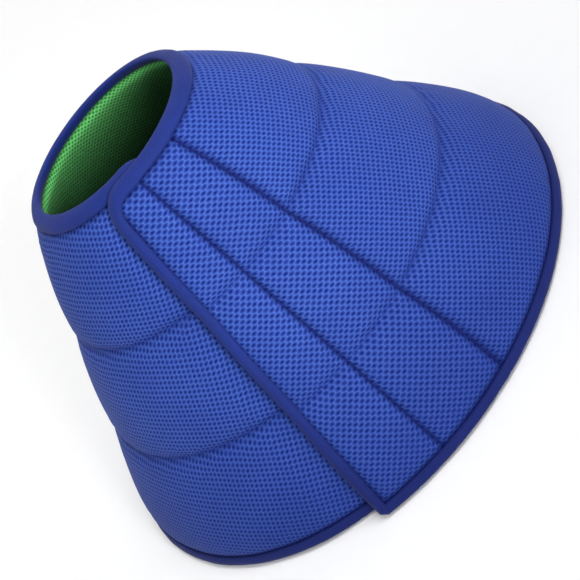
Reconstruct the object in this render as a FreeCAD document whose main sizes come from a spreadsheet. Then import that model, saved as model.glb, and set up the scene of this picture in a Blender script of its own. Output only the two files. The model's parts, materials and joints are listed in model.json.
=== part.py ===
import FreeCAD, Part
import os

import Sketcher

# A soft padded recovery collar: a strip of quilted fabric rolled into a cone that stands on
# its wide rim, with the neck opening on top.  The strip's ends lap at the front (-Y): the
# flap lies outside, the under-lap inside, and hook and loop patches between them hold the
# collar closed.  The origin is the middle of the rim's footprint on the floor, and +Z points
# through the neck.
#
# Every wall piece is a slice of one cone.  A place in the wall is given by its height above
# the floor, its depth below the outer face (measured square to the face) and its angle about
# the cone's axis, which starts at the front and grows towards +X.
#
# The back half is a half cone about an upright axis.  The front pieces are coaxial cones about
# an axis that stands wrap_shift towards -X of it: the flap side is larger by wrap_shift and the
# under-lap side is smaller by it, so both meet the back half at its sides and leave an even
# space between flap and under-lap.  Both axes stand half of wrap_shift behind the origin,
# because the flap makes the footprint deeper by wrap_shift.

SIZES = (
    ("height", 200.0, "floor to neck edge"),
    ("rim_radius", 178.0, "outer face of the back half at the floor"),
    ("neck_radius", 62.5, "outer face of the back half at the neck edge"),
    ("wrap_shift", 4.9, "offset of the front pieces' axis"),
    ("cover_thick", 2.4, "outer spacer mesh"),
    ("pad_thick", 2.2, "foam board"),
    ("lining_thick", 1.4, "inner spacer mesh"),
    ("tape_thick", 0.8, "binding tape"),
    ("tape_width", 7.0, "height of the rim and neck binding, width of the edge bindings"),
    ("tape_ease", 0.15, "space between an edge binding and the wall inside it"),
    ("ring_low", 66.5, "height of the lower quilting seam"),
    ("ring_high", 129.5, "height of the upper quilting seam"),
    ("thread_width", 0.8, "width of a line of quilting stitches"),
    ("pad_margin", 2.0, "space from a foam board's edge to a ring seam or a binding"),
    ("pad_margin_angle", 1.2, "space from a foam board's end to a straight seam, degrees"),
    ("part_gap_angle", 0.2, "half of the space between two neighbouring pieces, degrees"),
    ("stitch_angle", 0.4, "width of a straight line of stitches, degrees"),
    ("side_angle", 90.0, "where the back half ends, each way from the front, degrees"),
    ("seam_b_angle", 12.5, "root of the flap, degrees"),
    ("seam_a_angle", -5.0, "fold between the flap's two gores, degrees"),
    ("flap_edge_angle", -24.3, "free edge of the flap, degrees"),
    ("under_edge_angle", 10.0, "free edge of the under-lap, degrees"),
    ("patch_thick", 1.0, "hook patch and loop patch"),
    ("patch_margin", 9.0, "space above and below a patch inside its band"),
    ("hook_width", 22.0, "width of a hook patch"),
    ("neck_hook_width", 10.0, "width of a hook patch in the narrow band at the neck"),
    ("loop_start_angle", -23.0, "side of the loop patches away from the under-lap's edge, degrees"),
)

DEGREES = "180 / pi"
TAPER = "(Sizes.rim_radius - Sizes.neck_radius) / Sizes.height"
SKEW = f"sqrt(1 + ({TAPER})^2)"
WALL = "(Sizes.cover_thick + Sizes.pad_thick + Sizes.lining_thick)"
PAD_OUTER = "Sizes.cover_thick"
PAD_INNER = "(Sizes.cover_thick + Sizes.pad_thick)"
GAP = "Sizes.part_gap_angle"
PAD_GAP = "Sizes.pad_margin_angle"
SHELL_LOW = "Sizes.tape_thick"
SHELL_HIGH = "(Sizes.height - Sizes.tape_thick)"

# Each panel: its first and last angle, and how its cone is shifted (see the head of the file).
PANELS = {
    "back": ("Sizes.side_angle", "(360 - Sizes.side_angle)", 0),
    "right_side": ("Sizes.seam_b_angle", "Sizes.side_angle", 1),
    "flap_base": ("Sizes.seam_a_angle", "Sizes.seam_b_angle", 1),
    "flap_tip": ("Sizes.flap_edge_angle", "Sizes.seam_a_angle", 1),
    "left_side": ("(-Sizes.side_angle)", "Sizes.under_edge_angle", -1),
}
FREE_START = "flap_tip"
FREE_END = "left_side"

BANDS = {
    "rim": ("Sizes.tape_width", "Sizes.ring_low"),
    "middle": ("Sizes.ring_low", "Sizes.ring_high"),
    "neck": ("Sizes.ring_high", "(Sizes.height - Sizes.tape_width)"),
}

doc = FreeCAD.newDocument("padded_cone_collar")


def make_sheet():
    """Write the driving sizes into the spreadsheet."""
    sheet = doc.addObject("Spreadsheet::Sheet", "Sizes")
    for row, (alias, value, note) in enumerate(SIZES, start=1):
        sheet.set(f"A{row}", alias)
        sheet.set(f"B{row}", str(value))
        sheet.setAlias(f"B{row}", alias)
        sheet.set(f"C{row}", note)
    doc.recompute()


def origin_plane(body, role):
    """Return one of the body's own origin planes."""
    return next(item for item in body.Origin.OriginFeatures if item.Role == role)


def wall_radius(shift, height, depth):
    """Radius about the piece's own axis at a height and a depth in the wall."""
    return f"(Sizes.rim_radius + ({shift}) * Sizes.wrap_shift - {TAPER} * ({height}) - {SKEW} * ({depth}))"


def new_body(label, shift, angle):
    """Start a piece whose own X axis points to the given angle of its cone."""
    body = doc.addObject("PartDesign::Body", label)
    body.Label = label
    body.Placement.Rotation = FreeCAD.Rotation(FreeCAD.Vector(0, 0, 1), 90)
    body.setExpression("Placement.Base.x", f"-{abs(shift)} * Sizes.wrap_shift")
    body.setExpression("Placement.Base.y", "Sizes.wrap_shift / 2")
    body.setExpression("Placement.Rotation.Angle", f"{angle} - 90")
    return body


def add_outline(body, name, role, corners):
    """Draw a closed outline whose corners are pairs of expressions, and constrain it fully."""
    sketch = body.newObject("Sketcher::SketchObject", name)
    sketch.AttachmentSupport = (origin_plane(body, role), "")
    sketch.MapMode = "FlatFace"
    points = []
    for across, along in corners:
        x = float(sketch.evalExpression(across))
        y = float(sketch.evalExpression(along))
        points.append(FreeCAD.Vector(x, y, 0))
    count = len(points)
    for index in range(count):
        sketch.addGeometry(Part.LineSegment(points[index], points[(index + 1) % count]), False)
    for index in range(count):
        sketch.addConstraint(Sketcher.Constraint("Coincident", index, 2, (index + 1) % count, 1))
    for index, (across, along) in enumerate(corners):
        for kind, expression, value in (
            ("DistanceX", across, points[index].x),
            ("DistanceY", along, points[index].y),
        ):
            number = sketch.addConstraint(Sketcher.Constraint(kind, -1, 1, index, 1, value))
            corner_name = f"{kind}_{index}"
            sketch.renameConstraint(number, corner_name)
            sketch.setExpression(f"Constraints.{corner_name}", expression)
    return sketch


def add_slice(label, shift, start, end, places):
    """Turn a wall section, given as (height, depth) places, from one angle to another."""
    body = new_body(label, shift, start)
    corners = [(wall_radius(shift, height, depth), height) for height, depth in places]
    sketch = add_outline(body, f"{label}_section", "XZ_Plane", corners)
    turn = body.newObject("PartDesign::Revolution", f"{label}_turn")
    turn.Profile = sketch
    turn.ReferenceAxis = (sketch, ["V_Axis"])
    turn.setExpression("Angle", f"({end}) - ({start})")
    sketch.Visibility = False
    body.Tip = turn
    return body


def add_layer(label, shift, start, end, low, high, outer, inner):
    """A plain layer of the wall between two heights and two depths."""
    places = ((low, outer), (low, inner), (high, inner), (high, outer))
    return add_slice(label, shift, start, end, places)


def add_ring_binding(label, shift, start, end, edge, leg_end, inside):
    """Tape folded over the neck or rim edge: edge, leg end and inside face are heights."""
    tape = "Sizes.tape_thick"
    places = (
        (leg_end, f"-{tape}"),
        (edge, f"-{tape}"),
        (edge, f"{WALL} + {tape}"),
        (leg_end, f"{WALL} + {tape}"),
        (leg_end, WALL),
        (inside, WALL),
        (inside, "0"),
        (leg_end, "0"),
    )
    return add_slice(label, shift, start, end, places)


def edge_outline(shift, height, side):
    """Cross-section at one height of tape folded over a straight free edge of the wall.

    The wall ends at the local X axis, and side is 1 where it continues towards +Y and -1
    where it continues towards -Y.
    """
    tape = "Sizes.tape_thick"
    ease = "Sizes.tape_ease"
    width = "Sizes.tape_width"

    def face(depth, distance):
        radius = wall_radius(shift, height, depth)
        return (f"sqrt({radius}^2 - ({distance})^2)", f"({side}) * ({distance})")

    outer_face = f"-{tape}"
    outer_side = f"-{ease}"
    inner_side = f"{WALL} + {ease}"
    inner_face = f"{WALL} + {tape}"
    return [
        face(outer_face, f"-{tape}"),
        face(inner_face, f"-{tape}"),
        face(inner_face, width),
        face(inner_side, width),
        face(inner_side, "0"),
        face(outer_side, "0"),
        face(outer_side, width),
        face(outer_face, width),
    ]


def add_edge_binding(label, shift, angle, side):
    """Tape folded over a straight free edge, from the floor to the neck edge."""
    body = new_body(label, shift, angle)
    low = add_outline(body, f"{label}_low", "XY_Plane", edge_outline(shift, "0", side))
    high = add_outline(body, f"{label}_high", "XY_Plane", edge_outline(shift, "Sizes.height", side))
    high.setExpression("AttachmentOffset.Base.z", "Sizes.height")
    loft = body.newObject("PartDesign::AdditiveLoft", f"{label}_loft")
    loft.Profile = low
    loft.Sections = [high]
    loft.Ruled = True
    low.Visibility = False
    high.Visibility = False
    body.Tip = loft
    return body


def binding_turn(shift, height):
    """Angle that an edge binding covers at a height, with a small space beside it."""
    radius = wall_radius(shift, height, f"{WALL} + Sizes.tape_thick")
    return f"{DEGREES} * (Sizes.tape_width + 4 * Sizes.tape_ease) / {radius}"


def make_panel(name):
    """Cover, lining, foam boards, bindings and ring stitches of one panel."""
    first, last, shift = PANELS[name]
    start = first if name == FREE_START else f"{first} + {GAP}"
    end = last if name == FREE_END else f"{last} - {GAP}"

    def inner_limits(height, margin):
        """Angles between which the pieces inside the covers lie at a height."""
        from_edge = binding_turn(shift, height)
        low_angle = f"{first} + {from_edge}" if name == FREE_START else first
        high_angle = f"{last} - {from_edge}" if name == FREE_END else last
        return f"{low_angle} + {margin}", f"{high_angle} - {margin}"

    add_layer(f"{name}_outer_mesh", shift, start, end, SHELL_LOW, SHELL_HIGH, "0", PAD_OUTER)
    add_layer(f"{name}_lining", shift, start, end, SHELL_LOW, SHELL_HIGH, PAD_INNER, WALL)
    for band, (low, high) in BANDS.items():
        add_layer(
            f"{name}_foam_{band}",
            shift,
            *inner_limits(high, PAD_GAP),
            f"{low} + Sizes.pad_margin",
            f"{high} - Sizes.pad_margin",
            PAD_OUTER,
            PAD_INNER,
        )
    for ring in ("low", "high"):
        seam = f"Sizes.ring_{ring}"
        add_layer(
            f"{name}_ring_stitch_{ring}",
            shift,
            *inner_limits(seam, PAD_GAP),
            f"{seam} - Sizes.thread_width / 2",
            f"{seam} + Sizes.thread_width / 2",
            PAD_OUTER,
            PAD_INNER,
        )
    add_ring_binding(
        f"{name}_neck_binding",
        shift,
        *inner_limits("Sizes.height", GAP),
        "Sizes.height",
        "Sizes.height - Sizes.tape_width",
        SHELL_HIGH,
    )
    add_ring_binding(
        f"{name}_rim_binding",
        shift,
        *inner_limits("0", GAP),
        "0",
        "Sizes.tape_width",
        SHELL_LOW,
    )


def make_straight_stitches():
    """Stitches beside the two straight seams that the flap folds along."""
    for label, seam in (("flap_root_stitch", "Sizes.seam_b_angle"), ("flap_fold_stitch", "Sizes.seam_a_angle")):
        start = f"{seam} + {GAP}"
        add_layer(
            label,
            1,
            start,
            f"{start} + Sizes.stitch_angle",
            "Sizes.tape_width + Sizes.pad_margin",
            "Sizes.height - Sizes.tape_width - Sizes.pad_margin",
            PAD_OUTER,
            PAD_INNER,
        )


def make_patches():
    """Hook patches inside the flap, and loop patches on the under-lap's outer face."""
    gores = (("flap_base", "Sizes.seam_a_angle", "Sizes.seam_b_angle"),
             ("flap_tip", "Sizes.flap_edge_angle", "Sizes.seam_a_angle"))
    for band, (low, high) in BANDS.items():
        bottom = f"{low} + Sizes.patch_margin"
        top = f"{high} - Sizes.patch_margin"
        hook_radius = wall_radius(1, f"({low} + {high}) / 2", WALL)
        hook_width = "Sizes.neck_hook_width" if band == "neck" else "Sizes.hook_width"
        half_turn = f"{DEGREES} * {hook_width} / {hook_radius} / 2"
        for gore, first, last in gores:
            middle = f"({first} + {last}) / 2"
            add_layer(
                f"{gore}_hook_{band}",
                1,
                f"{middle} - {half_turn}",
                f"{middle} + {half_turn}",
                bottom,
                top,
                WALL,
                f"{WALL} + Sizes.patch_thick",
            )
        add_layer(
            f"under_lap_loop_{band}",
            -1,
            "Sizes.loop_start_angle",
            f"Sizes.under_edge_angle - {binding_turn(-1, top)} - {GAP}",
            bottom,
            top,
            "-Sizes.patch_thick",
            "0",
        )


def check_and_export():
    """Stop if any piece failed, then write one file for each piece."""
    for item in doc.Objects:
        if "Invalid" in item.State or "Error" in item.State:
            raise RuntimeError(f"{item.Label} failed: {item.State}")
    bodies = [item for item in doc.Objects if item.TypeId == "PartDesign::Body"]
    os.makedirs("parts", exist_ok=True)
    for body in bodies:
        if body.Shape.isNull() or not body.Shape.isValid() or body.Shape.Volume <= 0:
            raise RuntimeError(f"{body.Label} has no valid solid")
        body.Shape.exportStep(f"parts/{body.Label}.step")
    print(f"{len(bodies)} pieces written")


make_sheet()
for panel_name in PANELS:
    make_panel(panel_name)
add_edge_binding("flap_edge_binding", 1, "Sizes.flap_edge_angle", 1)
add_edge_binding("under_lap_edge_binding", -1, "Sizes.under_edge_angle", -1)
make_straight_stitches()
make_patches()
doc.recompute()
check_and_export()
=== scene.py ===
"""Looks of a soft recovery collar for a pet: a cone of padded spacer mesh, bound with navy tape.

The CAD frame gives the main sizes; the rest are given here. Covers, linings, foam boards, binding
tapes, stitches and the hook and loop patches are built here over that frame. Lengths are in metres.
"""
import json
import math
from collections import namedtuple

import bpy
import numpy as np
from mathutils import Matrix, Vector


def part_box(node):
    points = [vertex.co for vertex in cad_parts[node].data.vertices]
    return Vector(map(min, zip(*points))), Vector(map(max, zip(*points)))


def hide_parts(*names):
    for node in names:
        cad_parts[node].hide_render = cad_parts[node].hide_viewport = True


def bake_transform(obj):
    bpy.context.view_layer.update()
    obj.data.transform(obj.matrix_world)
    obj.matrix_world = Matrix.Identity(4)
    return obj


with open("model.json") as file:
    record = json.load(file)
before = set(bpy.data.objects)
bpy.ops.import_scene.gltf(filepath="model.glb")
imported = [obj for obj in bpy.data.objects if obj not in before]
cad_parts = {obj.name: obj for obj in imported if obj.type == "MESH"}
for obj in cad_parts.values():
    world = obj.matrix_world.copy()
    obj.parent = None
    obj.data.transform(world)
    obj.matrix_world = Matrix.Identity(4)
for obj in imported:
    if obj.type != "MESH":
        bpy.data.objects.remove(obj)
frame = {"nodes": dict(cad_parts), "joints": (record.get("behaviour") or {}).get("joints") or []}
bpy.context.view_layer.update()

MM = 0.001

# ------------------------------------------------------------------ sizes, mostly read from the frame

JOINTS = {j["name"]: j for j in frame["joints"]}


def seam_angle(joint):
    """Angle from the front, in degrees, of the seam that a joint turns about."""
    x, y, _ = JOINTS[joint]["axis"]
    return math.degrees(math.atan2(-x, y))


SIDE_AXIS = JOINTS["right_side_spread"]["axis"]
TAPER = -SIDE_AXIS[0] / SIDE_AXIS[2]
SKEW = math.hypot(1.0, TAPER)
WRAP = 2.0 * JOINTS["right_side_spread"]["pos_m"][1]
back_low, back_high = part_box("back_outer_mesh")
RIM = back_high.x + TAPER * back_low.z
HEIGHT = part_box("flap_edge_binding")[1].z
SEAM_A = seam_angle("flap_tip_peel")
SEAM_B = seam_angle("flap_peel")
tip_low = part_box("flap_tip_outer_mesh")[0]
FLAP_EDGE = math.degrees(math.asin((tip_low.x + WRAP) / (RIM + WRAP - TAPER * tip_low.z)))
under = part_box("left_side_outer_mesh")
UNDER_EDGE = 360 + math.degrees(
    math.asin((under[1].x + WRAP) / (RIM - WRAP - TAPER * under[0].z))
)


def mid_height(node):
    low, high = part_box(node)
    return (low.z + high.z) / 2


RING_LOW = mid_height("back_ring_stitch_low")
RING_HIGH = mid_height("back_ring_stitch_high")
WALL = 6.0 * MM
BACK = 180.0
TAPE = 7.5 * MM
SHELL = 0.9 * MM

# The straight seams lean a little from the wall's generators: degrees off at the floor and at
# the neck.
EDGES = {
    "flap_edge": (FLAP_EDGE, 1.9, -1.7),
    "seam_a": (SEAM_A, -0.8, 0.5),
    "seam_b": (SEAM_B, -1.0, 6.2),
    "back": (BACK, 0.0, 0.0),
    "under_edge": (UNDER_EDGE, 0.0, 0.0),
}


def edge_angle(edge, height):
    """The angle of a straight seam or edge at each height."""
    middle, at_rim, at_neck = EDGES[edge]
    return middle + at_rim + (at_neck - at_rim) * np.asarray(height, float) / HEIGHT


def end_angle(end, height):
    """The angle of a tape's end, which is at a named edge or at an angle of its own."""
    return float(edge_angle(end, height)) if isinstance(end, str) else end


# band: (kind of its lower edge, lowest and highest height, kind of its upper edge)
BANDS = {
    "rim": ("tape", 0.0, RING_LOW, "ring"),
    "middle": ("ring", RING_LOW, RING_HIGH, "ring"),
    "neck": ("ring", RING_HIGH, HEIGHT, "tape"),
}
# stretch: (first edge, its kind, last edge, its kind)
STRETCHES = {
    "flap_tip": ("flap_edge", "tape", "seam_a", "thin seam"),
    "flap_base": ("seam_a", "thin seam", "seam_b", "seam"),
    "right": ("seam_b", "seam", "back", "open"),
    "left": ("back", "open", "under_edge", "tape"),
}
# the bodies of the CAD whose nodes the pieces of a stretch stand for
STANDS_FOR = {
    "flap_tip": ("flap_tip",),
    "flap_base": ("flap_base",),
    "right": ("right_side", "back"),
    "left": ("left_side", "back"),
}

# ------------------------------------------------------------------ the wall's geometry


# millimetres off the straight cone
LIFT = 2.6
RIM_BELLY, MIDDLE_BELLY, NECK_BELLY = 1.6, 1.2, 2.2
RIM_CURL = 2.2
CURL_HEIGHT = 32 * MM
SIDE_PINCH, RIGHT_PINCH = 4.95, 1.35
PINCH_FROM = 130 * MM


def smoothstep(value, low, high):
    t = np.clip((value - low) / (high - low), 0, 1)
    return t * t * (3 - 2 * t)


def sway(angle, height):
    """How far the soft wall stands off the straight cone: it bellies between the ring seams, curls
    in at the rim, and the neck is pinched from its sides into an oval."""
    turn = np.radians(angle)
    height = np.asarray(height, float)
    pinch = (SIDE_PINCH + RIGHT_PINCH * np.sin(turn)) * np.sin(turn) ** 2
    belly = 0.0
    for size, low, high in (
        (RIM_BELLY, 0.0, RING_LOW),
        (MIDDLE_BELLY, RING_LOW, RING_HIGH),
        (NECK_BELLY, RING_HIGH, HEIGHT),
    ):
        belly = belly + size * np.sin(math.pi * np.clip((height - low) / (high - low), 0, 1))
    curl = RIM_CURL * np.clip(1 - height / CURL_HEIGHT, 0, 1) ** 2
    lift = LIFT * height / HEIGHT
    return (lift + belly - curl - pinch * smoothstep(height, PINCH_FROM, HEIGHT)) * MM


def wall(angle, height, out):
    """Points of the wall: angle from the front, height, and distance out of the outer face."""
    angle, height, out = np.broadcast_arrays(angle, height, out)
    side = np.where(angle < 90, 1.0, np.where(angle > 270, -1.0, 0.0))
    radius = RIM + side * WRAP - TAPER * height + SKEW * (out + sway(angle, height))
    turn = np.radians(angle)
    x = -np.abs(side) * WRAP + radius * np.sin(turn)
    y = WRAP / 2 - radius * np.cos(turn)
    return np.stack([x, y, height + 0 * radius], -1)


def outward(angle):
    """The wall's normal."""
    turn = np.radians(angle)
    return np.stack([np.sin(turn), -np.cos(turn), TAPER + 0 * turn], -1) / SKEW


def radius_at(height):
    return RIM - TAPER * height


GRID_TILT = -40.0
# The body's cloth: how much wider its pattern runs on the right, how far the pattern is turned by
# the time it reaches the left, and the angles between which both are eased.
BODY_REACH = 1.07
BODY_TURN = 25.0
EASE_FROM, EASE_TO = 110, 250


def flat_place(angle, height, in_body):
    """Where a point of the wall lies in the cut cloth, whose mesh pattern runs square. The body's
    cloth is a little tighter than the flap's on the right, and it is eased round the back."""
    reach = radius_at(height) * SKEW / TAPER
    turn = angle - SEAM_A
    if in_body:
        eased = smoothstep(angle, EASE_FROM, EASE_TO)
        reach = reach * (BODY_REACH - (BODY_REACH - 1) * eased)
        turn = turn - BODY_TURN * eased
    bearing = np.radians(GRID_TILT + turn * TAPER / SKEW)
    return np.stack([reach * np.cos(bearing), reach * np.sin(bearing), 0 * reach], -1)


def unroll(angle, height, side):
    """The cone of one side, opened flat: points (x, y)."""
    reach = (RIM + side * WRAP - TAPER * np.asarray(height, float)) * SKEW / TAPER
    bearing = np.radians(np.asarray(angle, float)) * TAPER / SKEW
    return np.stack([reach * np.sin(bearing), -reach * np.cos(bearing)], -1)


def roll_up(points, side):
    """The angle and height of points of the opened cone."""
    reach = np.linalg.norm(points, axis=-1)
    bearing = np.arctan2(points[..., 0], -points[..., 1])
    angle = np.degrees(bearing) * SKEW / TAPER
    return angle, (RIM + side * WRAP - reach * TAPER / SKEW) / TAPER


NOISE_CELLS = 97


def smooth_noise(u, v, seed):
    """Smooth noise from -1 to 1, which repeats after NOISE_CELLS steps of u or v."""
    lattice = np.random.default_rng(seed).uniform(-1, 1, (NOISE_CELLS, NOISE_CELLS))
    u, v = np.broadcast_arrays(np.asarray(u, float), np.asarray(v, float))
    i, j = np.floor(u).astype(int), np.floor(v).astype(int)
    s, t = u - i, v - j
    s, t = s * s * (3 - 2 * s), t * t * (3 - 2 * t)
    i, j, k, m = (at % NOISE_CELLS for at in (i, j, i + 1, j + 1))
    low = lattice[i, j] * (1 - s) + lattice[k, j] * s
    high = lattice[i, m] * (1 - s) + lattice[k, m] * s
    return low * (1 - t) + high * t


# ------------------------------------------------------------------ relief of the padded cells

# A kind of edge: depth and width of its groove, reach and size of the puckers beside it, and width
# and strength of the painted shade along its groove.
Kind = namedtuple("Kind", "groove width reach pucker line shade")
KINDS = {
    "ring": Kind(1.4 * MM, 4.0 * MM, 5.0 * MM, 0.45 * MM, 2.0 * MM, 0.32),
    "seam": Kind(2.1 * MM, 2.9 * MM, 4.0 * MM, 0.30 * MM, 1.9 * MM, 1.0),
    "thin seam": Kind(1.8 * MM, 2.2 * MM, 4.0 * MM, 0.25 * MM, 1.3 * MM, 0.95),
    "tape": Kind(0.9 * MM, 3.0 * MM, 6.0 * MM, 0.34 * MM, 1.9 * MM, 1.0),
}
# the ring seams' grooves are shallower and their painted shade weaker on the flap
FLAP_RING_GROOVE, FLAP_RING_SHADE = 0.6, 0.4
# height of a cell's crown, and how far from the edges it takes to rise
CROWN_NEAR, NEAR_RISE = 1.0 * MM, 4.5 * MM
CROWN_WIDE, WIDE_RISE = 1.5 * MM, 15 * MM
CROWN_WAVE = 0.7 * MM
PUCKER_PITCH, PUCKER_LENGTH = 6.5 * MM, 30 * MM
LINING_PUFF, LINING_WAVE, LINING_RISE = 1.4 * MM, 0.4 * MM, 6 * MM
TAPE_SQUEEZE, SQUEEZE_WIDTH = 1.8 * MM, 3.2 * MM
LINING_GROOVE = 0.6
PUCKER_SEED = 11


def edge_distances(angle, height, stretch, band):
    """Distance of each point from the cell's edges, with the kind of each edge."""
    kind_low, low, high, kind_high = BANDS[band]
    first, kind_first, last, kind_last = STRETCHES[stretch]
    reach = radius_at(height)
    found = []
    for kind, away in (
        (kind_low, (height - low) * SKEW),
        (kind_high, (high - height) * SKEW),
        (kind_first, np.radians(angle - edge_angle(first, height)) * reach),
        (kind_last, np.radians(edge_angle(last, height) - angle) * reach),
    ):
        if kind == "tape":
            away = away - TAPE
        if kind != "open":
            found.append((kind, np.maximum(away, 0.0)))
    return found


def puckers(angle, height, kind, away, seed):
    """Small folds that run out from a seam."""
    reach, size = KINDS[kind].reach, KINDS[kind].pucker
    if kind.endswith("seam"):
        along = height * SKEW / PUCKER_PITCH
    else:
        along = np.radians(angle) * radius_at(height) / PUCKER_PITCH
    fade = (away / reach) * np.exp(1 - away / reach)
    return size * fade * smooth_noise(along, away / PUCKER_LENGTH, seed)


def is_flap(stretch):
    return stretch.startswith("flap")


def relief(angle, height, stretch, band):
    """How far the cover stands out of the CAD's outer face."""
    near, wide, dip, fold = 1.0, 1.0, 0.0, 0.0
    for number, (kind, away) in enumerate(edge_distances(angle, height, stretch, band)):
        near = near * (1 - np.exp(-away / NEAR_RISE))
        wide = wide * (1 - np.exp(-away / WIDE_RISE))
        groove = KINDS[kind].groove
        if kind == "ring" and is_flap(stretch):
            groove = FLAP_RING_GROOVE * groove
        dip = np.maximum(dip, groove * np.exp(-((away / KINDS[kind].width) ** 2)))
        fold = fold + puckers(angle, height, kind, away, PUCKER_SEED + number)
    wave = CROWN_WAVE * smooth_noise(angle / 13 + 7, height / (45 * MM), 5)
    return CROWN_NEAR * near + (CROWN_WIDE + wave) * wide - dip + fold


def painted_seam_shade(angle, height, stretch, band):
    """Share of painted shade in the groove of a seam and the crevice beside a tape: 1 there, and 0 away
    from it.
    """
    shade = 0 * angle
    for kind, away in edge_distances(angle, height, stretch, band):
        strength = KINDS[kind].shade
        if kind == "ring" and is_flap(stretch):
            strength = FLAP_RING_SHADE * strength
        shade = np.maximum(shade, strength * np.exp(-((away / KINDS[kind].line) ** 2)))
    return shade


def under_flap(angle):
    """1 where the flap lies over the wall, and 0 away from it."""
    edge = 360 + FLAP_EDGE
    return smoothstep(angle, edge - 8, edge - 1)


def cover_out(angle, height, stretch, band):
    """Where the cover's visible face is; it is pressed flat where the flap lies over it."""
    out = relief(angle, height, stretch, band)
    if stretch == "left":
        covered = under_flap(angle)
        out = out * (1 - covered) + np.minimum(out, -0.1 * MM) * covered
    return out


def lining_out(angle, height, stretch, band):
    """Where the lining's visible face is: it puffs in towards the neck, but not on the flap."""
    puff, dip = 1.0, 0.0
    for kind, away in edge_distances(angle, height, stretch, band):
        puff = puff * (1 - np.exp(-away / LINING_RISE))
        squeeze = TAPE_SQUEEZE if kind == "tape" else LINING_GROOVE * KINDS[kind].groove
        dip = np.maximum(dip, squeeze * np.exp(-((away / SQUEEZE_WIDTH) ** 2)))
    if is_flap(stretch):
        return -WALL + dip
    wave = LINING_WAVE * smooth_noise(angle / 11 + 3, height / (38 * MM), 9)
    return -WALL - (LINING_PUFF + wave) * puff + dip


# ------------------------------------------------------------------ mesh makers


SHARP = math.radians(58)
# painted shade near the floor: the colours are darkened towards the rim, from this height down
RIM_PAINTED_SHADE_HEIGHT = 110 * MM


def add_attribute(mesh, name, values):
    """Stores one number or one vector for each point."""
    values = np.asarray(values, np.float32)
    kind, field = ("FLOAT", "value") if values.ndim == 1 else ("FLOAT_VECTOR", "vector")
    mesh.attributes.new(name, kind, "POINT").data.foreach_set(field, values.ravel())


def new_object(name, points, faces, material, flat, shade=None):
    mesh = bpy.data.meshes.new(name)
    mesh.from_pydata([tuple(p) for p in points], [], [tuple(f) for f in faces])
    mesh.validate()
    add_attribute(mesh, "flat", flat)
    if shade is not None:
        add_attribute(mesh, "painted_seam_shade", shade)
    # painted shade near the floor: 1 at the rim, fading to 0 over the lowest part of the wall
    add_attribute(mesh, "painted_rim_shade", 1 - smoothstep(points[:, 2], 0.0, RIM_PAINTED_SHADE_HEIGHT))
    mesh.polygons.foreach_set("use_smooth", [True] * len(mesh.polygons))
    mesh.set_sharp_from_angle(angle=SHARP)
    mesh.materials.append(material)
    made = bpy.data.objects.new(name, mesh)
    bpy.context.scene.collection.objects.link(made)
    return made


def grid_faces(rows, columns, start=0, wrap=False, flip=False):
    """Quads over a grid of points; wrap joins the last column to the first."""
    faces = []
    count = columns if wrap else columns - 1
    for i in range(rows - 1):
        for j in range(count):
            k = (j + 1) % columns
            face = (
                start + i * columns + j,
                start + (i + 1) * columns + j,
                start + (i + 1) * columns + k,
                start + i * columns + k,
            )
            faces.append(face[::-1] if flip else face)
    return faces


def layer(name, angle, height, top, bottom, material, shade=None):
    """A closed thin layer of the wall, over a grid of angles (rows) and heights (columns)."""
    rows, columns = angle.shape
    outer = wall(angle, height, top).reshape(-1, 3)
    inner = wall(angle, height, bottom).reshape(-1, 3)
    size = rows * columns
    faces = grid_faces(rows, columns)
    faces += grid_faces(rows, columns, size, flip=True)
    border = [(i, 0) for i in range(rows)]
    border += [(rows - 1, j) for j in range(1, columns)]
    border += [(i, columns - 1) for i in range(rows - 2, -1, -1)]
    border += [(0, j) for j in range(columns - 2, 0, -1)]
    ring = [i * columns + j for i, j in border]
    for a, b in zip(ring, ring[1:] + ring[:1]):
        faces.append((b, a, a + size, b + size))
    in_body = name.startswith(("right", "left"))
    flat = flat_place(angle, height, in_body).reshape(-1, 3)
    if shade is not None:
        shade = np.tile(shade.ravel(), 2)
    return new_object(
        name, np.concatenate([outer, inner]), faces, material, np.concatenate([flat, flat]), shade
    )


CORNER = 19.0 * MM
UNDER_TAPE = 2.0 * MM
STEP_GROWTH = 0.16


def trim_corner(angle, height, edge, towards, inset):
    """Moves the grid points of a cell's neck corner inside the binding's rounded corner."""
    away_edge = np.radians((angle - edge_angle(edge, height)) * towards) * radius_at(height)
    away_neck = (HEIGHT - height) * SKEW
    u, v = CORNER - away_edge, CORNER - away_neck
    inside = (u > 0) & (v > 0)
    share = np.minimum(1, (CORNER - inset) / np.maximum(np.hypot(u, v), 1e-6))
    new_height = HEIGHT - (CORNER - v * share) / SKEW
    turn = np.degrees((CORNER - u * share) / radius_at(new_height))
    new_angle = edge_angle(edge, new_height) + towards * turn
    return np.where(inside, new_angle, angle), np.where(inside, new_height, height)


def graded(length, fine, coarse):
    """Steps from 0 to 1 that are fine at both ends of the length."""
    at = [0.0]
    while at[-1] < length / 2:
        at.append(at[-1] + min(coarse, fine + STEP_GROWTH * at[-1]))
    half = np.array(at) / at[-1] / 2
    return np.concatenate([half, 1 - half[-2::-1]])


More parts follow.
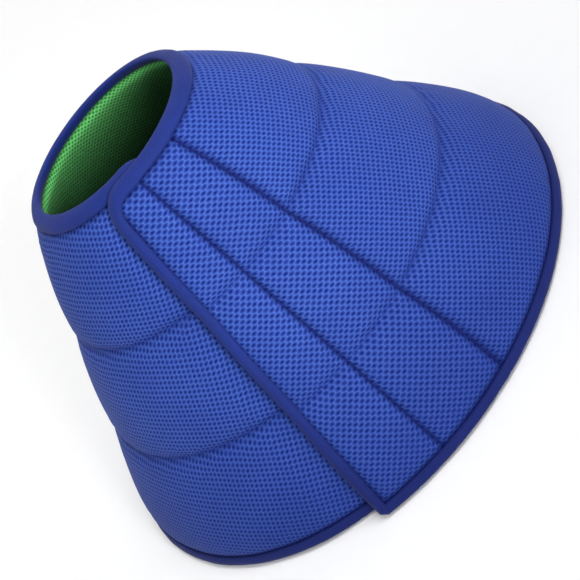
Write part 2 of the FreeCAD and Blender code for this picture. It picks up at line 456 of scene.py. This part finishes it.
def cell_grid(stretch, band, inset, fine, coarse):
    """Angles and heights of one cell, kept inset from tape edges; other edges are exact."""
    kind_low, low, high, kind_high = BANDS[band]
    first, kind_first, last, kind_last = STRETCHES[stretch]
    low += inset[kind_low] / SKEW
    high -= inset[kind_high] / SKEW
    wide = math.radians(float(edge_angle(last, low) - edge_angle(first, low))) * radius_at(low)
    share = graded(wide, fine, coarse)[:, None]
    height = low + (high - low) * graded((high - low) * SKEW, fine, coarse)[None, :] + 0 * share
    begin = edge_angle(first, height) + np.degrees(inset[kind_first] / radius_at(height))
    end = edge_angle(last, height) - np.degrees(inset[kind_last] / radius_at(height))
    angle = begin + (end - begin) * share
    if stretch == "flap_tip":
        angle, height = trim_corner(angle, height, "flap_edge", 1, inset["tape"])
    if stretch == "left":
        angle, height = trim_corner(angle, height, "under_edge", -1, inset["tape"])
    return angle, height


# (a, out) of the binding tape's section in millimetres: a is the distance in from the wall's
# edge. It goes from the outer hem round the edge to the inner hem, then back along the wall.
SECTION = np.array([
    (6.0, -0.7), (6.3, -0.2), (6.2, 0.5), (5.6, 1.05), (4.6, 1.45), (3.5, 1.65), (2.4, 1.6),
    (1.3, 1.2), (0.3, 0.5), (-0.5, -0.5), (-1.0, -1.6), (-1.1, -2.6), (-0.9, -3.6),
    (-0.3, -4.4), (0.7, -5.0), (2.0, -5.4), (3.5, -5.55), (4.8, -5.5), (5.8, -5.35),
    (6.3, -5.0), (6.1, -4.6), (3.6, -4.5), (1.2, -4.2), (0.5, -3.6), (0.3, -2.6),
    (0.5, -1.6), (1.2, -1.0), (3.6, -0.9),
]) * MM


def strip(name, angle, height, out, along, material):
    """A closed tape: rows are places along it, and columns go round its section."""
    rows, columns = angle.shape
    points = wall(angle, height, out).reshape(-1, 3)
    faces = grid_faces(rows, columns, wrap=True, flip=True)
    faces.append(tuple(range(columns)))
    faces.append(tuple(range((rows - 1) * columns, rows * columns))[::-1])
    across = np.concatenate([[0], np.cumsum(np.linalg.norm(np.diff(SECTION, axis=0), axis=1))])
    flat = np.stack(
        [
            np.broadcast_to(along[:, None], angle.shape),
            np.broadcast_to(across[None, :], angle.shape),
            0 * angle,
        ],
        -1,
    ).reshape(-1, 3)
    return new_object(name, points, faces, material, flat)


HEM_WAVE, TAPE_PUFF = 0.45 * MM, 0.16


def section_at(along, seed, thin=1.0):
    """The tape's section at each place along it, slightly uneven as sewn tape is."""
    inward = np.broadcast_to(SECTION[:, 0], (len(along), len(SECTION))).copy()
    out = np.broadcast_to(SECTION[:, 1], (len(along), len(SECTION))).copy()
    hem = np.clip((inward - 3 * MM) / (3 * MM), 0, 1)
    inward += hem * HEM_WAVE * smooth_noise(along / (16 * MM), 0.5, seed)[:, None]
    puff = TAPE_PUFF * smooth_noise(along / (11 * MM), 3.5, seed)[:, None]
    out = np.where(out > 0, out * (1 + puff) * thin, out)
    inward = np.where(inward < 0, inward * (1 + 0.6 * puff), inward)
    return inward, out


# how far the tape's path lies in from the wall's edge, the length of one step along it, and how
# far back from a sharp corner it is blunt
NOSE = 1.3 * MM
TAPE_STEP = 2.4 * MM
BLUNT = 3.0 * MM


def ring_tape(name, first, last, at_neck, seed, thin=None):
    """The binding of the neck or the rim between two angles."""
    level = HEIGHT if at_neck else 0.0
    count = max(8, round(math.radians(last - first) * radius_at(level) / TAPE_STEP))
    angle = np.linspace(first, last, count)
    along = np.radians(angle) * radius_at(level)
    inward, out = section_at(along, seed)
    if thin is not None:
        out = np.where(out > 0, out * thin(angle)[:, None], out)
    depth = (NOSE + inward) / SKEW
    height = HEIGHT - depth if at_neck else depth
    return strip(name, angle[:, None] + 0 * height, height, out, along, binding)


def edge_tape(name, seam, edge, side, seed, thin=1.0):
    """One tape from the seam along the neck, round the corner, down the free edge, round the
    sharp corner and back along the rim to the seam."""
    lap = -360 if side < 0 else 0
    neck_level, rim_level = HEIGHT - NOSE / SKEW, NOSE / SKEW

    def seam_at(height):
        return end_angle(seam, height) + lap

    turn = 1 if end_angle(edge, 0.0) + lap > seam_at(0.0) else -1

    def edge_at(height):
        reach = RIM + side * WRAP - TAPER * height
        return end_angle(edge, height) + lap - turn * math.degrees(NOSE / reach)

    corner_high = unroll(edge_at(neck_level), neck_level, side)
    corner_low = unroll(edge_at(rim_level), rim_level, side)
    neck = unroll(np.linspace(seam_at(HEIGHT), edge_at(neck_level), 60), neck_level, side)
    neck = neck[np.linalg.norm(neck - corner_high, axis=1) > CORNER]
    down = (corner_low - corner_high) / np.linalg.norm(corner_low - corner_high)
    finish = corner_high + down * CORNER
    t = np.linspace(0, 1, 14)[1:-1, None]
    bend = (1 - t) ** 2 * neck[-1] + 2 * t * (1 - t) * corner_high + t**2 * finish
    rim = unroll(np.linspace(edge_at(rim_level), seam_at(0.0), 60), rim_level, side)
    steps = max(10, round(np.linalg.norm(corner_low - finish) / TAPE_STEP))
    t = np.linspace(0, 1, steps)[:, None]
    edge_line = finish + (corner_low - down * BLUNT - finish) * t
    rim = rim[np.linalg.norm(rim - corner_low, axis=1) > BLUNT]
    path = np.concatenate([neck, bend, edge_line, rim])
    before = np.diff(path, axis=0, prepend=path[:1] - (path[1:2] - path[:1]))
    after = np.diff(path, axis=0, append=path[-1:] + (path[-1:] - path[-2:-1]))
    before /= np.linalg.norm(before, axis=1)[:, None]
    after /= np.linalg.norm(after, axis=1)[:, None]
    left = np.stack([-before[:, 1], before[:, 0]], 1)
    right = np.stack([-after[:, 1], after[:, 0]], 1)
    normal = (left + right) / (1 + (left * right).sum(1))[:, None]
    centre = unroll((seam_at(HEIGHT / 2) + edge_at(HEIGHT / 2)) / 2, HEIGHT / 2, side)
    if ((centre - path[0]) @ normal[0]) < 0:
        normal = -normal
    along = np.concatenate([[0], np.cumsum(np.linalg.norm(np.diff(path, axis=0), axis=1))])
    inward, out = section_at(along, seed, thin)
    angle, height = roll_up(path[:, None, :] + inward[:, :, None] * normal[:, None, :], side)
    angle = angle - lap
    if turn > 0:
        angle, height, out, along = angle[::-1], height[::-1], out[::-1], along[::-1]
    return strip(name, angle, height, out, along, binding)


def threads(name, centres, directions, normals, length, thick, material):
    """Separate stitches: small rounded lengths of thread."""
    rings, sides = 5, 6
    t = np.linspace(-1, 1, rings)
    swell = np.sqrt(np.maximum(0.06, 1 - t**2))
    spin = np.linspace(0, 2 * math.pi, sides, endpoint=False)
    x = np.repeat(t * length / 2, sides)
    y = (swell[:, None] * np.cos(spin)[None, :] * thick / 2).ravel()
    z = (swell[:, None] * np.sin(spin)[None, :] * thick / 2).ravel()
    across = np.cross(normals, directions)
    across /= np.linalg.norm(across, axis=1)[:, None]
    upright = np.cross(directions, across)
    points = (
        centres[:, None, :]
        + x[None, :, None] * directions[:, None, :]
        + y[None, :, None] * across[:, None, :]
        + z[None, :, None] * upright[:, None, :]
    ).reshape(-1, 3)
    faces = []
    for n in range(len(centres)):
        start = n * rings * sides
        faces += grid_faces(rings, sides, start, wrap=True, flip=True)
        faces.append(tuple(range(start, start + sides)))
        faces.append(tuple(range(start + (rings - 1) * sides, start + rings * sides))[::-1])
    flat = np.tile(np.stack([x, y, z], -1), (len(centres), 1))
    return new_object(name, points, faces, material, flat)


STITCH = 2.7 * MM
STITCH_PITCH = 3.6 * MM
THREAD = 0.62 * MM


def stitch_line(name, angle, height, out, material, inside=False):
    """Stitches along a line of the wall, given densely; they are spaced evenly along it."""
    line = wall(angle, height, out)
    along = np.concatenate([[0], np.cumsum(np.linalg.norm(np.diff(line, axis=0), axis=1))])
    count = max(2, int(along[-1] / STITCH_PITCH))
    at = (np.arange(count) + 0.5) * along[-1] / count
    centres = np.stack([np.interp(at, along, line[:, k]) for k in range(3)], -1)
    ahead = np.stack([np.interp(at + MM, along, line[:, k]) for k in range(3)], -1)
    behind = np.stack([np.interp(at - MM, along, line[:, k]) for k in range(3)], -1)
    directions = ahead - behind
    directions /= np.linalg.norm(directions, axis=1)[:, None]
    normals = outward(np.interp(at, along, angle)) * (-1 if inside else 1)
    return threads(name, centres, directions, normals, STITCH, THREAD, material)


# ------------------------------------------------------------------ materials


class Nodes:
    """Short names for building a material."""

    def __init__(self, name):
        self.material = bpy.data.materials.new(name)
        self.material.use_nodes = True
        self.tree = self.material.node_tree
        self.shader = self.tree.nodes["Principled BSDF"]

    def put(self, socket, value):
        if isinstance(value, bpy.types.NodeSocket):
            self.tree.links.new(value, socket)
        else:
            socket.default_value = value

    def math(self, operation, *values, clamp=False):
        node = self.tree.nodes.new("ShaderNodeMath")
        node.operation, node.use_clamp = operation, clamp
        for socket, value in zip(node.inputs, values):
            self.put(socket, value)
        return node.outputs[0]

    def waves(self, value, pitch):
        """From 0 to 1 and back once in each pitch."""
        return self.math("ABSOLUTE", self.math("SINE", self.math("MULTIPLY", value, math.pi / pitch)))

    def ramp(self, value, low, high):
        """0 below low and 1 above high, smoothly between."""
        node = self.tree.nodes.new("ShaderNodeMapRange")
        node.interpolation_type = "SMOOTHSTEP"
        for key, v in (("Value", value), ("From Min", low), ("From Max", high)):
            self.put(node.inputs[key], v)
        return node.outputs["Result"]

    def mix(self, share, a, b):
        node = self.tree.nodes.new("ShaderNodeMix")
        node.data_type = "RGBA"
        self.put(node.inputs[0], share)
        self.put(node.inputs[6], a)
        self.put(node.inputs[7], b)
        return node.outputs[2]

    def noise(self, vector, scale, detail=2.0):
        node = self.tree.nodes.new("ShaderNodeTexNoise")
        self.put(node.inputs["Vector"], vector)
        node.inputs["Scale"].default_value = scale
        node.inputs["Detail"].default_value = detail
        return node.outputs["Fac"]

    def place(self):
        return self.tree.nodes.new("ShaderNodeTexCoord").outputs["Object"]

    def attribute(self, name, output="Fac"):
        node = self.tree.nodes.new("ShaderNodeAttribute")
        node.attribute_name = name
        return node.outputs[output]

    def painted_rim_shade_share(self):
        """Share of painted shade near the floor: 1 at the rim, fading to 0 over the lowest part of the
        wall.
        """
        return self.attribute("painted_rim_shade")

    def flat(self):
        """Where the point lies in the cut cloth."""
        return self.attribute("flat", "Vector")

    def parts(self, vector):
        node = self.tree.nodes.new("ShaderNodeSeparateXYZ")
        self.put(node.inputs[0], vector)
        return node.outputs[0], node.outputs[1], node.outputs[2]

    def bump(self, height, strength, distance, below=None):
        node = self.tree.nodes.new("ShaderNodeBump")
        node.inputs["Strength"].default_value = strength
        node.inputs["Distance"].default_value = distance
        self.put(node.inputs["Height"], height)
        if below is not None:
            self.put(node.inputs["Normal"], below)
        return node.outputs[0]

    def finish(self, colour, roughness, normal, **fixed):
        self.put(self.shader.inputs["Base Color"], colour)
        self.put(self.shader.inputs["Roughness"], roughness)
        if normal is not None:
            self.put(self.shader.inputs["Normal"], normal)
        for key, value in fixed.items():
            self.shader.inputs[key.replace("_", " ")].default_value = value
        return self.material


def linear(r, g, b):
    """A screen colour of 0 to 255 as a linear colour."""
    scale = [v / 255 for v in (r, g, b)]
    return tuple(v / 12.92 if v <= 0.04045 else ((v + 0.055) / 1.055) ** 2.4 for v in scale) + (1,)


# painted shade: how far the mesh is darkened along seam grooves and beside tapes, and mesh and tape
# near the floor at the rim
SEAM_PAINTED_SHADE, MESH_RIM_PAINTED_SHADE, TAPE_RIM_PAINTED_SHADE = 0.88, 0.34, 0.7
# painted shade from ambient occlusion: how far the wall closes round a point, in metres, and the
# openness where the painted shade begins and ends
PAINTED_SHADE_REACH, PAINTED_SHADE_RAMP = 0.3, (0.1, 0.22)
DIAGONAL = math.sqrt(0.5)


def spacer_mesh(name, pitch, ground, ridge_highlight, hole_and_shade, seam, hole_size, slant_share, painted_occlusion_shade=0.0):
    """Knitted spacer mesh: a square grid of small slanting oval holes between raised ribs, with painted
    shade in the holes and a painted highlight on the rib crests.
    Painted shade darkens it along seam grooves and beside tapes, and, by the share given last, where
    the wall closes round it (ambient occlusion)."""
    n = Nodes(name)
    x, y, _ = n.parts(n.flat())
    drift = n.math("MULTIPLY", n.math("SUBTRACT", n.noise(n.flat(), 90.0), 0.5), 0.3)
    u = n.math("ADD", n.math("DIVIDE", x, pitch), drift)
    v = n.math("ADD", n.math("DIVIDE", y, pitch), drift)
    cu = n.math("SUBTRACT", n.math("FRACT", u), 0.5)
    cv = n.math("SUBTRACT", n.math("FRACT", v), 0.5)
    slant = n.math("MULTIPLY", n.math("ADD", cu, cv), DIAGONAL / slant_share)
    cross = n.math("MULTIPLY", n.math("SUBTRACT", cu, cv), DIAGONAL)
    squares = n.math("ADD", n.math("MULTIPLY", slant, slant), n.math("MULTIPLY", cross, cross))
    away = n.math("SQRT", squares)
    open_hole = n.math("SUBTRACT", 1.0, n.ramp(away, hole_size * 0.35, hole_size))
    clear = n.ramp(n.noise(n.flat(), 300.0), 0.25, 0.6)
    open_hole = n.math("MULTIPLY", open_hole, n.math("ADD", 0.5, n.math("MULTIPLY", clear, 0.5)))
    rib = n.ramp(away, hole_size * 1.05, hole_size * 2.1)
    strand = n.math("ABSOLUTE", n.math("SINE", n.math("MULTIPLY", n.math("ADD", u, v), 5 * math.pi)))
    fuzz = n.noise(n.place(), 2600.0, 3.0)
    uneven = n.noise(n.flat(), 420.0, 2.0)
    # painted highlight: the rib crests are lightened away from the holes
    light = n.math("MULTIPLY", rib, n.math("ADD", 0.45, n.math("MULTIPLY", uneven, 0.75)), clamp=True)
    base = n.mix(light, ground, ridge_highlight)
    base = n.mix(n.math("MULTIPLY", n.math("MULTIPLY", strand, fuzz), 0.35), base, ground)
    # painted shade: the holes are darkened as the shade inside them, over the real hole pattern
    base = n.mix(open_hole, base, hole_and_shade)
    patchy = n.ramp(n.noise(n.place(), 22.0, 3.0), 0.32, 0.68)
    base = n.mix(n.math("MULTIPLY", patchy, 0.14), base, hole_and_shade)
    # painted shade near the floor: the mesh is darkened towards the rim
    base = n.mix(n.math("MULTIPLY", n.painted_rim_shade_share(), MESH_RIM_PAINTED_SHADE), base, hole_and_shade)
    # painted shade in the seam grooves and the crevice beside the tapes
    base = n.mix(n.math("MULTIPLY", n.attribute("painted_seam_shade"), SEAM_PAINTED_SHADE), base, seam)
    # painted shade: ambient occlusion darkens the colour where the wall closes round the mesh
    if painted_occlusion_shade:
        occlusion_for_shade = n.tree.nodes.new("ShaderNodeAmbientOcclusion")
        occlusion_for_shade.inputs["Distance"].default_value = PAINTED_SHADE_REACH
        painted_occlusion_share = n.math("SUBTRACT", 1.0, n.ramp(occlusion_for_shade.outputs["AO"], *PAINTED_SHADE_RAMP))
        base = n.mix(n.math("MULTIPLY", painted_occlusion_share, painted_occlusion_shade), base, seam)
    normal = n.bump(n.math("SUBTRACT", 1.0, open_hole), 0.8, 0.45 * MM)
    fine = n.math("ADD", n.math("MULTIPLY", strand, 0.5), fuzz)
    normal = n.bump(fine, 0.3, 0.12 * MM, normal)
    rough = n.math("ADD", 0.66, n.math("MULTIPLY", open_hole, 0.25))
    return n.finish(base, rough, normal, Sheen_Weight=0.02, Sheen_Roughness=0.4, Specular_IOR_Level=0.1)


RIB_PITCH, ROW_PITCH, TWIST_PITCH = 0.9 * MM, 0.75 * MM, 0.5 * MM


def tape_material(name, ground, light, dark):
    """Woven binding tape: fine ribs across it, darkened towards the rim by painted shade."""
    n = Nodes(name)
    along, across, _ = n.parts(n.flat())
    rib = n.waves(along, RIB_PITCH)
    row = n.waves(across, ROW_PITCH)
    weave = n.math("MULTIPLY", rib, row)
    fuzz = n.noise(n.place(), 1800.0, 3.0)
    patchy = n.ramp(n.noise(n.place(), 60.0, 2.0), 0.32, 0.7)
    base = n.mix(weave, dark, light)
    base = n.mix(n.math("MULTIPLY", patchy, 0.45), base, ground)
    base = n.mix(n.math("MULTIPLY", fuzz, 0.3), base, dark)
    # painted shade near the floor: the tape is darkened towards the rim
    base = n.mix(n.math("MULTIPLY", n.painted_rim_shade_share(), TAPE_RIM_PAINTED_SHADE), base, dark)
    normal = n.bump(n.math("ADD", weave, n.math("MULTIPLY", fuzz, 0.5)), 0.5, 0.22 * MM)
    return n.finish(base, 0.75, normal, Sheen_Weight=0.05, Sheen_Roughness=0.4, Specular_IOR_Level=0.2)


def thread_material(name, ground, light):
    """Sewing thread with its twist."""
    n = Nodes(name)
    along, across, _ = n.parts(n.flat())
    twist = n.waves(n.math("ADD", along, across), TWIST_PITCH)
    normal = n.bump(twist, 0.6, 0.1 * MM)
    return n.finish(n.mix(twist, ground, light), 0.7, normal, Specular_IOR_Level=0.1)


def foam_material(name):
    """Closed-cell foam board."""
    n = Nodes(name)
    pores = n.noise(n.place(), 1400.0, 4.0)
    colour = n.mix(pores, linear(150, 152, 158), linear(205, 206, 208))
    return n.finish(colour, 0.9, n.bump(pores, 0.5, 0.3 * MM), Specular_IOR_Level=0.1)


def pile_material(name, ground, light, scale):
    """Hook or loop tape: a dense pile with a fine grid below it."""
    n = Nodes(name)
    pile = n.noise(n.place(), scale, 4.0)
    cells = n.tree.nodes.new("ShaderNodeTexVoronoi")
    n.put(cells.inputs["Vector"], n.place())
    cells.inputs["Scale"].default_value = scale * 0.55
    dots = n.math("SUBTRACT", 1.0, n.ramp(cells.outputs["Distance"], 0.1, 0.6))
    colour = n.mix(n.math("MULTIPLY", n.math("ADD", pile, dots), 0.5), ground, light)
    normal = n.bump(n.math("ADD", pile, dots), 0.8, 0.4 * MM)
    return n.finish(colour, 0.85, normal, Sheen_Weight=0.2, Specular_IOR_Level=0.15)


# colours: ground, rib crest with painted highlight, holes with painted shade (also the colour of the
# painted shade near the floor), and the colour of the painted shade along seams; the lining's last
# number is its share of painted occlusion shade
blue = spacer_mesh(
    "blue_spacer_mesh", 3.0 * MM, linear(37, 63, 147), linear(76, 105, 187), linear(10, 30, 107),
    linear(8, 20, 88), 0.25, 1.6,
)
green = spacer_mesh(
    "green_spacer_mesh", 2.3 * MM, linear(78, 200, 92), linear(192, 244, 188), linear(34, 140, 54),
    linear(8, 36, 22), 0.27, 1.4, 0.9,
)
binding = tape_material("navy_tape", linear(23, 45, 132), linear(34, 62, 150), linear(12, 24, 88))
navy_thread = thread_material("navy_thread", linear(12, 22, 88), linear(26, 40, 112))
blue_thread = thread_material("blue_thread", linear(28, 48, 140), linear(48, 74, 172))
green_thread = thread_material("green_thread", linear(24, 96, 44), linear(70, 150, 84))
foam = foam_material("grey_foam")
hook = pile_material("hook_pile", linear(14, 18, 44), linear(40, 46, 78), 1500.0)
loop = pile_material("loop_pile", linear(16, 26, 84), linear(46, 60, 128), 900.0)

# ------------------------------------------------------------------ baking each piece, and hiding the CAD parts it stands for


def follow(piece, stretch):
    """Bakes the piece's transform into its mesh; it is the same for every stretch."""
    if stretch in ("right", "left"):
        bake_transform(piece)
        return
    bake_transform(piece)


def stands_for(piece, stretch, *layers):
    """The piece stands for these layers of each body that its stretch covers."""
    bodies = STANDS_FOR[stretch]
    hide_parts(*[f"{body}_{name}" for body in bodies for name in layers])


# ------------------------------------------------------------------ the camera

VIEW_AZIMUTH = -1.74
VIEW_ELEVATION = 29.7
VIEW_ROLL = -51.27
VIEW_DISTANCE = 797.8 * MM
VIEW_SHIFT = (38.7 * MM, -35.5 * MM)
SENSOR = 36
FOCAL_SHARE = 2.253

a, e, r = (math.radians(v) for v in (VIEW_AZIMUTH, VIEW_ELEVATION, VIEW_ROLL))
back_axis = Vector((math.sin(a) * math.cos(e), -math.cos(a) * math.cos(e), math.sin(e)))
level = Vector((math.cos(a), math.sin(a), 0))
rise = back_axis.cross(level)
right_axis = math.cos(r) * level + math.sin(r) * rise
up_axis = -math.sin(r) * level + math.cos(r) * rise
target = Vector((0, 0, HEIGHT / 2)) + VIEW_SHIFT[0] * right_axis + VIEW_SHIFT[1] * up_axis

camera_data = bpy.data.cameras.new("camera")
camera_data.sensor_width = SENSOR
camera_data.lens = SENSOR * FOCAL_SHARE
camera_data.clip_start, camera_data.clip_end = 0.01, 50
camera = bpy.data.objects.new("camera", camera_data)
bpy.context.scene.collection.objects.link(camera)
camera.matrix_world = Matrix.Translation(target + back_axis * VIEW_DISTANCE) @ Matrix(
    (right_axis, up_axis, back_axis)
).transposed().to_4x4()
bpy.context.scene.camera = camera

# ------------------------------------------------------------------ covers, linings and foam

FOAM_TOP, FOAM_LOW = 2.8 * MM, 4.5 * MM
COVER_INSET = {"tape": UNDER_TAPE, "ring": 0.0, "seam": 0.0, "thin seam": 0.0, "open": 0.0}
# grid steps of a cell, at its edges and in its middle
COVER_STEPS, LINING_STEPS, FOAM_STEPS = (0.8 * MM, 2.4 * MM), (1.4 * MM, 3.0 * MM), (5.0 * MM, 6.0 * MM)
FOAM_INSET = {"tape": 10 * MM, "ring": 3 * MM, "seam": 4 * MM, "thin seam": 4 * MM, "open": 0.0}


for stretch in STRETCHES:
    for band in BANDS:
        angle, height = cell_grid(stretch, band, COVER_INSET, *COVER_STEPS)
        out = cover_out(angle, height, stretch, band)
        shade = painted_seam_shade(angle, height, stretch, band)
        cover = layer(f"{stretch}_cover_{band}", angle, height, out, out - SHELL, blue, shade)
        follow(cover, stretch)
        stands_for(cover, stretch, "outer_mesh")

        angle, height = cell_grid(stretch, band, COVER_INSET, *LINING_STEPS)
        out = lining_out(angle, height, stretch, band)
        shade = painted_seam_shade(angle, height, stretch, band)
        lining = layer(f"{stretch}_lining_{band}", angle, height, out + SHELL, out, green, shade)
        follow(lining, stretch)
        stands_for(lining, stretch, "lining")

        angle, height = cell_grid(stretch, band, FOAM_INSET, *FOAM_STEPS)
        board = layer(f"{stretch}_foam_{band}", angle, height, -FOAM_TOP, -FOAM_LOW, foam)
        follow(board, stretch)
        stands_for(board, stretch, f"foam_{band}")

# ------------------------------------------------------------------ stitches

# how far stitches stand on the mesh, and how far they stop short of an edge
ON_MESH = 0.12 * MM
CLEAR = {"tape": 10 * MM, "seam": 4 * MM, "thin seam": 4 * MM, "open": 0.0}

for stretch, (first, kind_first, last, kind_last) in STRETCHES.items():
    for ring, level, band in (("low", RING_LOW, "rim"), ("high", RING_HIGH, "middle")):
        reach = radius_at(level)
        begin = edge_angle(first, level) + math.degrees(CLEAR[kind_first] / reach)
        end = edge_angle(last, level) - math.degrees(CLEAR[kind_last] / reach)
        angle, height = np.linspace(begin, end, 400), np.full(400, level)
        out = cover_out(angle, height, stretch, band) + ON_MESH
        outer = stitch_line(f"{stretch}_ring_stitches_{ring}", angle, height, out, blue_thread)
        follow(outer, stretch)
        stands_for(outer, stretch, f"ring_stitch_{ring}")
        out = lining_out(angle, height, stretch, band) - ON_MESH
        inner = stitch_line(
            f"{stretch}_inner_stitches_{ring}", angle, height, out, green_thread, inside=True
        )
        follow(inner, stretch)

for name, seam, kind, stretch, node in (
    ("flap_root_stitches", "seam_b", "seam", "flap_base", "flap_root_stitch"),
    ("flap_fold_stitches", "seam_a", "thin seam", "flap_tip", "flap_fold_stitch"),
):
    ends = (TAPE + 2 * MM) / SKEW
    height = np.linspace(ends, HEIGHT - ends, 300)
    level = np.full(300, ON_MESH - KINDS[kind].groove)
    sewn = stitch_line(name, edge_angle(seam, height), height, level, navy_thread)
    follow(sewn, stretch)
    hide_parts(node)

# ------------------------------------------------------------------ binding tapes


def under_lap_thin(angle):
    """The under-lap's tape is pressed flatter where the flap lies over it."""
    return 1 - (1 - PRESSED) * under_flap(angle)


# where the under-lap's tape with its two corners takes over from the plain neck and rim tapes
LAP_TAPE = 340.0
PRESSED = 0.55


def fit_tape(tape, stretch, *layers):
    follow(tape, stretch)
    if layers:
        stands_for(tape, stretch, *layers)


for stretch, first, last, thin, seed in (
    ("right", "seam_b", BACK, None, 21),
    ("left", BACK, LAP_TAPE, under_lap_thin, 23),
    ("flap_base", "seam_a", "seam_b", None, 25),
):
    for number, (side, level) in enumerate((("neck", HEIGHT), ("rim", 0.0))):
        begin, end = end_angle(first, level), end_angle(last, level)
        tape = ring_tape(f"{stretch}_{side}_tape", begin, end, side == "neck", seed + number, thin)
        fit_tape(tape, stretch, f"{side}_binding")

flap_tape = edge_tape("flap_edge_tape", "seam_a", "flap_edge", 1, 27)
fit_tape(flap_tape, "flap_tip", "neck_binding", "rim_binding")
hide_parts("flap_edge_binding")
lap_tape = edge_tape("under_lap_edge_tape", LAP_TAPE, "under_edge", -1, 28, PRESSED)
fit_tape(lap_tape, "left")
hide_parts("under_lap_edge_binding")

# ------------------------------------------------------------------ hook and loop patches

PATCH_THICK, PATCH_SINK = 0.95 * MM, 0.1 * MM
PATCH_STEP = 1.5 * MM
# the pile's unevenness, and the share of its thickness that is left at a patch's edge
PILE, PILE_EDGE = 0.12 * MM, 0.35
# degrees by which a loop patch is cut back at its hidden end
LOOP_CUT = 3.0


def span_of(node):
    """The angles and heights that a CAD patch covers."""
    points = np.array([v.co for v in frame["nodes"][node].data.vertices])
    angle = np.degrees(np.arctan2(points[:, 0] + WRAP, WRAP / 2 - points[:, 1]))
    return angle.min(), angle.max(), points[:, 2].min(), points[:, 2].max()


for node in sorted(frame["nodes"]):
    if "_hook_" not in node and "_loop_" not in node:
        continue
    first, last, low, high = span_of(node)
    is_loop = "_loop_" in node
    if is_loop:
        first, last = first + 360.0 + LOOP_CUT, last + 360.0
    rows = max(8, round(math.radians(last - first) * radius_at(low) / PATCH_STEP))
    columns = max(8, round((high - low) / PATCH_STEP))
    share = np.linspace(0, 1, rows)[:, None]
    height = np.linspace(low, high, columns)[None, :] + 0 * share
    angle = first + (last - first) * share + 0 * height
    edge = np.minimum(np.minimum(share, 1 - share) * rows, 0 * share + 2) / 2
    ends = np.minimum((height - low), (high - height)) / (3 * MM)
    full = np.minimum(np.minimum(edge + PILE_EDGE, ends + PILE_EDGE), 1.0)
    pile = PILE * smooth_noise(angle / 0.9, height / (1.7 * MM), 41)
    if is_loop:
        top = PATCH_THICK * full + pile
        patch = layer(f"{node}_tape", angle, height, top, -PATCH_SINK, loop)
        follow(patch, "left")
    else:
        bottom = -WALL - PATCH_THICK * full - pile
        patch = layer(f"{node}_tape", angle, height, PATCH_SINK - WALL, bottom, hook)
        follow(patch, "flap_tip" if node.startswith("flap_tip") else "flap_base")
    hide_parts(node)

# ------------------------------------------------------------------ floor and light

FLOOR_SIZE, FLOOR_DROP = 6.0, 0.2 * MM
floor_corners = [(x * FLOOR_SIZE, y * FLOOR_SIZE, 0) for x, y in ((-1, -1), (1, -1), (1, 1), (-1, 1))]
floor_mesh = bpy.data.meshes.new("floor")
floor_mesh.from_pydata(floor_corners, [], [(0, 1, 2, 3)])
floor = bpy.data.objects.new("floor", floor_mesh)
floor.location.z = -FLOOR_DROP
bpy.context.scene.collection.objects.link(floor)
paper = Nodes("paper")
grain = paper.noise(paper.place(), 40.0)
paper_colour = paper.mix(grain, (0.93, 0.93, 0.93, 1), (0.95, 0.95, 0.95, 1))
floor_mesh.materials.append(paper.finish(paper_colour, 0.9, None, Specular_IOR_Level=0.0))

AROUND = 0.63
SUN_STRENGTH, SUN_SPREAD, SUN_WAY = 1.3, 30, Vector((-0.35, 0.1, -0.93))
FRONT_POWER, FRONT_SIZE, FRONT_SPREAD = 0.46, 0.4, 30
FRONT_PLACE, FRONT_TARGET = Vector((0.22, -1.2, 0.52)), Vector((-0.02, -0.05, 0.19))

world = bpy.data.worlds.new("studio")
bpy.context.scene.world = world
world.use_nodes = True
background = world.node_tree.nodes["Background"]
background.inputs["Color"].default_value = (1, 1, 1, 1)
background.inputs["Strength"].default_value = AROUND


def add_light(name, kind, energy, way):
    data = bpy.data.lights.new(name, kind)
    data.energy = energy
    light = bpy.data.objects.new(name, data)
    bpy.context.scene.collection.objects.link(light)
    light.rotation_mode = "QUATERNION"
    light.rotation_quaternion = way.to_track_quat("-Z", "Y")
    return light


sun = add_light("key", "SUN", SUN_STRENGTH, SUN_WAY)
sun.data.angle = math.radians(SUN_SPREAD)

# a low, narrow light in front shines over the near edge of the neck onto the lining behind it
front = add_light("front", "AREA", FRONT_POWER, FRONT_TARGET - FRONT_PLACE)
front.data.shape, front.data.size = "DISK", FRONT_SIZE
front.data.spread = math.radians(FRONT_SPREAD)
front.location = FRONT_PLACE
front.visible_camera = False

bpy.context.scene.view_settings.view_transform = "Standard"

# ------------------------------------------------------------------ the end

bpy.context.view_layer.update()
